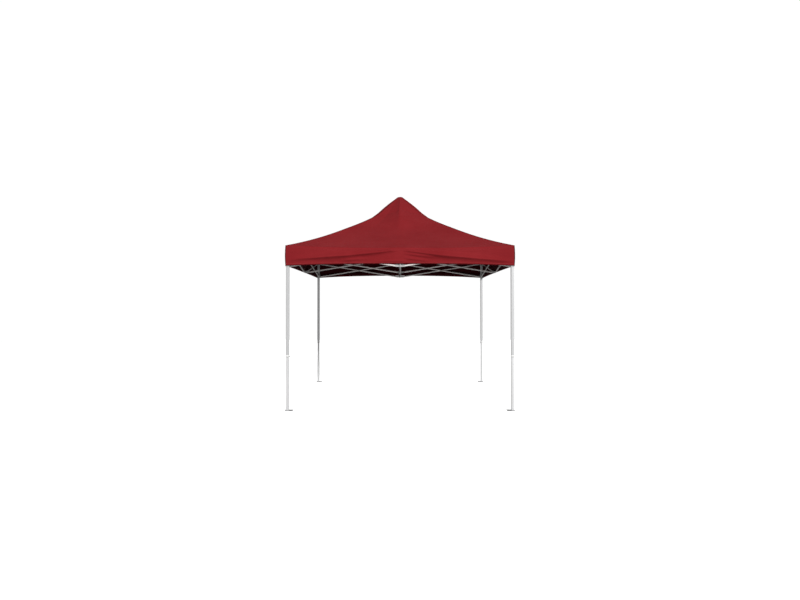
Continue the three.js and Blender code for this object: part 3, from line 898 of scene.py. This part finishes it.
post_metal = worked_metal("post_aluminium", (0.50, 0.50, 0.50), 0.75, 0.38, "Z", dirt=0.10)
mesh = bmesh.new()
inner = POST_RADIUS - POST_WALL
tube = [
    (inner, post_low.z + 0.004),
    (POST_RADIUS - 0.0004, post_low.z + 0.004),
    (POST_RADIUS, post_low.z + 0.0045),
    (POST_RADIUS, post_high.z - 0.0005),
    (POST_RADIUS - 0.0004, post_high.z),
    (inner, post_high.z),
]
turned_part(mesh, tube, steps=32, closed=True)
post_foot = [
    (0.004, post_low.z),
    (POST_RADIUS - 0.002, post_low.z),
    (POST_RADIUS + 0.0004, post_low.z + 0.002),
    (POST_RADIUS + 0.0004, post_low.z + 0.010),
    (POST_RADIUS, post_low.z + 0.0105),
]
turned_part(mesh, post_foot, material=1, steps=32)
guide = [(ROD_RADIUS + 0.0003, post_high.z - 0.015), (POST_RADIUS + 0.001, post_high.z - 0.015)]
guide += [(POST_RADIUS + 0.001, post_high.z + 0.001), (ROD_RADIUS + 0.0003, post_high.z + 0.001)]
turned_part(mesh, guide, material=1, steps=32, closed=True)
post = finished(mesh, "post_tube", post_metal, dark_nylon)
takes_place_of(post, "hub_lower_post", "hub_lower")

mesh = bmesh.new()
rod_top = rod_high.z - 0.024
rod_profile = [(ROD_RADIUS - 0.0015, rod_low.z), (ROD_RADIUS, rod_low.z + 0.0005)]
rod_profile += [(ROD_RADIUS, rod_top), (ROD_RADIUS - 0.0015, rod_top)]
turned_part(mesh, rod_profile, steps=24)
pad_radius = (rod_high.x - rod_low.x) / 2
pad = [
    (ROD_RADIUS + 0.0002, rod_high.z - 0.038),
    (ROD_RADIUS + 0.004, rod_high.z - 0.038),
    (ROD_RADIUS + 0.006, rod_high.z - 0.034),
    (pad_radius - 0.002, rod_high.z - 0.019),
    (pad_radius, rod_high.z - 0.016),
    (pad_radius, rod_high.z - 0.012),
    (pad_radius - 0.002, rod_high.z - 0.008),
    (pad_radius - 0.010, rod_high.z - 0.002),
    (pad_radius - 0.018, rod_high.z),
    (0.001, rod_high.z),
]
turned_part(mesh, pad, material=1, steps=40)
rod = finished(mesh, "post_rod_and_pad", post_metal, dark_nylon)
takes_place_of(rod, "post_rod", "post_rod")

# ---------------------------------------------------------------------------
# Legs.
# Square tubes of light anodised aluminium. The inner leg slides out of the outer one and is set
# by a pull knob in one of its holes; it stands on a plate with three peg holes. A cap on top and a
# slider below it hold the bars of the two sides.

leg_metal = worked_metal("anodised_leg_aluminium", (0.50, 0.50, 0.503), 0.35, 0.42, "Z", dirt=0.05)
# The inner tubes are a lighter copy of the same aluminium: painted light, making them look brighter than the
# outer tubes.
inner_metal_painted_light = worked_metal("inner_leg_aluminium_painted_light", (0.60, 0.60, 0.603), 0.30, 0.42, "Z", dirt=0.05)
plate_steel = worked_metal("galvanised_plate", (0.42, 0.42, 0.425), 0.6, 0.50, "X", dirt=0.16)
knob_black = moulded_plastic("black_knob_plastic", (0.018, 0.018, 0.019), 0.40)
knob_grey = moulded_plastic("grey_knob_plastic", (0.42, 0.42, 0.42), 0.40)
OUTER_SIDE = 0.038
OUTER_CORNER = 0.0035
OUTER_WALL = 0.0016
INNER_SIDE = 0.032
INNER_CORNER = 0.003
INNER_WALL = 0.0015
COLLAR_SIDE = 0.0398
COLLAR_HIGH = 0.026
COLLAR_LIP = 0.008  # a grey wiper under the light collar
HOLE_RADIUS = 0.0035
HOLE_STEP = 0.10
HOLES = 6
FOOT_THICK = 0.006
PLATE_OUTWARD = 0.030  # from the leg's middle to the plate's outer edges
WELD = 0.003
FOOT_HOLE = 0.005
FOOT_HOLE_INSET = 0.016
CAP_SIDE = 0.045
SLIDER_SIDE = 0.047
KNOB_RADIUS = 0.008
KNOB_STEM = 0.003
KNOB_GRIP = 0.009
KNOB_FLUTES = 12
LUG_START = OUTER_SIDE / 2 + 0.0015


def along_x(x, z):
    return Matrix.Translation((x, 0, z)) @ Matrix.Rotation(math.pi / 2, 4, "Y")


def square_ring(mesh, outer, inner, corner, bottom, top, edge=0.0005, material=0):
    """A square tube standing up, with its end edges broken."""
    outline = rounded_outline(outer, outer, corner)
    broken = rounded_outline(outer - 2 * edge, outer - 2 * edge, corner - edge)
    bore = rounded_outline(inner, inner, max(0.0008, corner - (outer - inner) / 2))
    sections = [(bore, bottom), (broken, bottom), (outline, bottom + edge)]
    sections += [(outline, top - edge), (broken, top), (bore, top)]
    loft(mesh, sections, material=material, closed=True)


def cut(piece, cutters):
    """Cuts round holes: each cutter is (radius, length, place)."""
    mesh = bmesh.new()
    for radius, length, place in cutters:
        turned_part(mesh, [(radius, -length / 2), (radius, length / 2)], place, steps=16)
    tool = finished(mesh, "cutter", piece.data.materials[0])
    change = piece.modifiers.new("holes", "BOOLEAN")
    change.operation = "DIFFERENCE"
    change.solver = "EXACT"
    change.object = tool
    drilled = bpy.data.meshes.new_from_object(piece.evaluated_get(bpy.context.evaluated_depsgraph_get()))
    piece.modifiers.clear()
    piece.data = drilled
    drilled.set_sharp_from_angle(angle=SMOOTH_ANGLE)
    bpy.data.objects.remove(tool)


def knob(mesh, wall_x, tip_x, z):
    """A spring-loaded pull knob: steel stem and a fluted grip."""
    start = wall_x + KNOB_STEM
    stem = [(0.0022, tip_x), (0.003, tip_x + 0.0008), (0.003, start + 0.001)]
    turned_part(mesh, stem, along_x(0, z), 1)
    sections = []
    for share, size in ((0, 0.86), (0.08, 0.95), (0.2, 1), (0.8, 1), (0.93, 0.95), (1, 0.80)):
        fluted = []
        for i in range(60):
            angle = 2 * math.pi * i / 60
            radius = KNOB_RADIUS * size * (1 - 0.05 * (0.5 + 0.5 * math.cos(KNOB_FLUTES * angle)))
            fluted.append((radius * math.cos(angle), radius * math.sin(angle)))
        sections.append((fluted, start + KNOB_GRIP * share))
    loft(mesh, sections, along_x(0, z))


for quarter, side in enumerate(SIDES):
    corner = corner_of(quarter, "left")
    turn = Matrix.Rotation(quarter * math.pi / 2, 4, "Z")
    stand = turn @ Matrix.Translation((-LEG_CENTRE, -LEG_CENTRE, 0))
    tube_low, tube_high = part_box(f"leg_outer_{corner}")
    inner_low, inner_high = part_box(f"leg_inner_{corner}")
    cap_low, cap_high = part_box(f"corner_bracket_{corner}")
    slider_low, slider_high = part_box(f"corner_slider_{corner}")
    knob_low, knob_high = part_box(f"leg_knob_{corner}")
    slide_low, slide_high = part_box(f"slider_knob_{corner}")
    leg_knob_z = (knob_low.z + knob_high.z) / 2
    slider_knob_z = (slide_low.z + slide_high.z) / 2

    mesh = bmesh.new()
    square_ring(mesh, OUTER_SIDE, OUTER_SIDE - 2 * OUTER_WALL, OUTER_CORNER, tube_low.z + 0.002, tube_high.z)
    piece = finished(mesh, f"leg_tube_{corner}", leg_metal, place=stand)
    takes_place_of(piece, f"leg_outer_{corner}", f"leg_{corner}")

    mesh = bmesh.new()
    bottom = tube_low.z
    lip = bottom + COLLAR_LIP
    square_ring(mesh, COLLAR_SIDE, INNER_SIDE + 0.0008, 0.005, lip, bottom + COLLAR_HIGH, 0.001)
    square_ring(mesh, COLLAR_SIDE - 0.0006, INNER_SIDE + 0.0008, 0.005, bottom, lip, 0.001, material=1)
    piece = finished(mesh, f"leg_collar_{corner}", nylon_light, nylon, place=stand)
    takes_place_of(piece, f"leg_outer_{corner}", f"leg_{corner}")

    mesh = bmesh.new()
    square_ring(mesh, INNER_SIDE, INNER_SIDE - 2 * INNER_WALL, INNER_CORNER, FOOT_THICK, inner_high.z)
    piece = finished(mesh, f"leg_inner_tube_{corner}", inner_metal_painted_light, place=Matrix())
    heights = [leg_knob_z - HOLE_STEP * n for n in range(HOLES)]
    cut(piece, [(HOLE_RADIUS, 0.01, along_x(INNER_SIDE / 2, z)) for z in heights])
    piece.matrix_world = stand
    takes_place_of(piece, f"leg_inner_{corner}", f"leg_inner_{corner}")

    mesh = bmesh.new()
    plate_side = inner_high.x - inner_low.x
    middle = plate_side / 2 - PLATE_OUTWARD
    plate = rounded_outline(plate_side, plate_side, 0.010, 6)
    broken = rounded_outline(plate_side - 0.002, plate_side - 0.002, 0.009, 6)
    edge = 0.001
    sections = [(broken, 0), (plate, edge), (plate, FOOT_THICK - edge), (broken, FOOT_THICK)]
    loft(mesh, sections, Matrix.Translation((middle, middle, 0)))
    piece = finished(mesh, f"foot_plate_{corner}", plate_steel, place=Matrix())
    far = plate_side - PLATE_OUTWARD - FOOT_HOLE_INSET
    places = [(0, far), (far, 0), (far, far)]
    cut(piece, [(FOOT_HOLE, 0.03, Matrix.Translation((x, y, 0))) for x, y in places])
    mesh = bmesh.new()
    mesh.from_mesh(piece.data)
    weld_side = INNER_SIDE + 2 * WELD
    weld_low, weld_high = FOOT_THICK - 0.0005, FOOT_THICK + 0.0025
    square_ring(mesh, weld_side, INNER_SIDE - 0.001, 0.005, weld_low, weld_high, 0.0012)
    mesh.to_mesh(piece.data)
    mesh.free()
    piece.data.set_sharp_from_angle(angle=SMOOTH_ANGLE)
    piece.matrix_world = stand
    takes_place_of(piece, f"leg_inner_{corner}", f"leg_inner_{corner}")

    mesh = bmesh.new()
    edge = 0.0008
    pocket = rounded_outline(OUTER_SIDE + 0.001, OUTER_SIDE + 0.001, 0.003)
    outline = rounded_outline(CAP_SIDE, CAP_SIDE, 0.005)
    sections = [(pocket, tube_high.z + 0.0005), (pocket, cap_low.z)]
    sections += [(rounded_outline(CAP_SIDE - 2 * edge, CAP_SIDE - 2 * edge, 0.0045), cap_low.z)]
    sections += [(outline, cap_low.z + edge), (outline, cap_high.z - 0.005)]
    for inset, drop in ((0.0005, 0.003), (0.0016, 0.0014), (0.0034, 0.0004), (0.0060, 0)):
        small = CAP_SIDE - 2 * inset
        sections.append((rounded_outline(small, small, 0.005), cap_high.z - drop))
    loft(mesh, sections)
    for turn_deg, bolt_side in ((0, -1), (90, 1)):
        add_lug(mesh, LUG_START, turn_deg, bolt_side, UPPER_PIN_Z)
    piece = finished(mesh, f"leg_cap_{corner}", nylon, bolt_steel, place=stand)
    takes_place_of(piece, f"corner_bracket_{corner}", f"leg_{corner}")

    mesh = bmesh.new()
    square_ring(mesh, SLIDER_SIDE, OUTER_SIDE + 0.001, 0.006, slider_low.z, slider_high.z, 0.001)
    for turn_deg, bolt_side in ((0, 1), (90, -1)):
        add_lug(mesh, LUG_START, turn_deg, bolt_side, LOWER_PIN_Z)
    wall = SLIDER_SIDE / 2
    boss = [(0.0075, wall - 0.001), (0.0075, wall + 0.001), (0.0065, wall + 0.0016)]
    turned_part(mesh, boss, along_x(0, slider_knob_z))
    piece = finished(mesh, f"leg_slider_{corner}", nylon, bolt_steel, place=stand)
    takes_place_of(piece, f"corner_slider_{corner}", f"slider_{corner}")

    mesh = bmesh.new()
    knob(mesh, SLIDER_SIDE / 2, OUTER_SIDE / 2 + 0.0003, slider_knob_z)
    piece = finished(mesh, f"knob_slider_{corner}", knob_black, bolt_steel, place=stand)
    takes_place_of(piece, f"slider_knob_{corner}", f"slider_knob_{corner}")

    mesh = bmesh.new()
    knob(mesh, COLLAR_SIDE / 2 - 0.0018, INNER_SIDE / 2 + 0.0003, leg_knob_z)
    piece = finished(mesh, f"knob_leg_{corner}", knob_grey, bolt_steel, place=stand)
    takes_place_of(piece, f"leg_knob_{corner}", f"leg_knob_{corner}")

# ---------------------------------------------------------------------------
# Floor, light and camera.
# A plain pale floor that runs into a pale surround, a low soft light from the front right, a weak
# lamp under the front edge, and a camera at a person's chest height, 9 m in front of the middle.

FLOOR_HALF = 14
WHITE = (1, 1, 1, 1)
mesh = bmesh.new()
corners = [(-1, -1), (1, -1), (1, 1), (-1, 1)]
mesh.faces.new([mesh.verts.new((x * FLOOR_HALF, y * FLOOR_HALF, -0.0005)) for x, y in corners])
pale, tree, shader = new_material("pale_floor")
seen = node(tree, "LightPath").outputs["Is Camera Ray"]
looks = {
    "Base Color": mix(tree, seen, (0.45, 0.45, 0.45, 1), (0.95, 0.95, 0.95, 1)),
    "Roughness": 0.9,
    "Specular IOR Level": 0.1,
    "Emission Color": WHITE,
    "Emission Strength": spread(tree, seen, 0, 0.65),
}
set_inputs(tree, shader, looks)
floor = finished(mesh, "floor", pale)

world = bpy.data.worlds.new("surround")
world.use_nodes = True
tree = world.node_tree
seen = node(tree, "LightPath").outputs["Is Camera Ray"]
set_inputs(tree, tree.nodes["Background"], {"Color": WHITE, "Strength": spread(tree, seen, 0.50, 1.02)})
bpy.context.scene.world = world

key = bpy.data.lights.new("key", "SUN")
key.energy = 2.5
key.angle = math.radians(7)
key_light = bpy.data.objects.new("key", key)
KEY_FROM = Vector((0.36, -0.84, 0.43))
key_light.rotation_euler = KEY_FROM.to_track_quat("Z", "Y").to_euler()
bpy.context.scene.collection.objects.link(key_light)

fill = bpy.data.lights.new("fill", "AREA")
fill.shape = "DISK"
fill.size = 1.2
fill.energy = 20
fill_light = bpy.data.objects.new("fill", fill)
fill_light.location = (0.0, -4.6, 0.4)
fill_aim = Vector((0, -1.43, 1.85)) - fill_light.location
fill_light.rotation_euler = fill_aim.to_track_quat("-Z", "Y").to_euler()
fill_light.visible_camera = False
bpy.context.scene.collection.objects.link(fill_light)

EYE = (0, -8.935, 1.337)
LENS_MM = 26.64
PITCH_DEG = 0.51
camera_data = bpy.data.cameras.new("camera")
camera_data.sensor_width = 36
camera_data.lens = LENS_MM
camera = bpy.data.objects.new("camera", camera_data)
camera.location = EYE
camera.rotation_euler = (math.radians(90 + PITCH_DEG), 0, 0)
bpy.context.scene.collection.objects.link(camera)
bpy.context.scene.camera = camera
bpy.context.scene.view_settings.view_transform = "Standard"
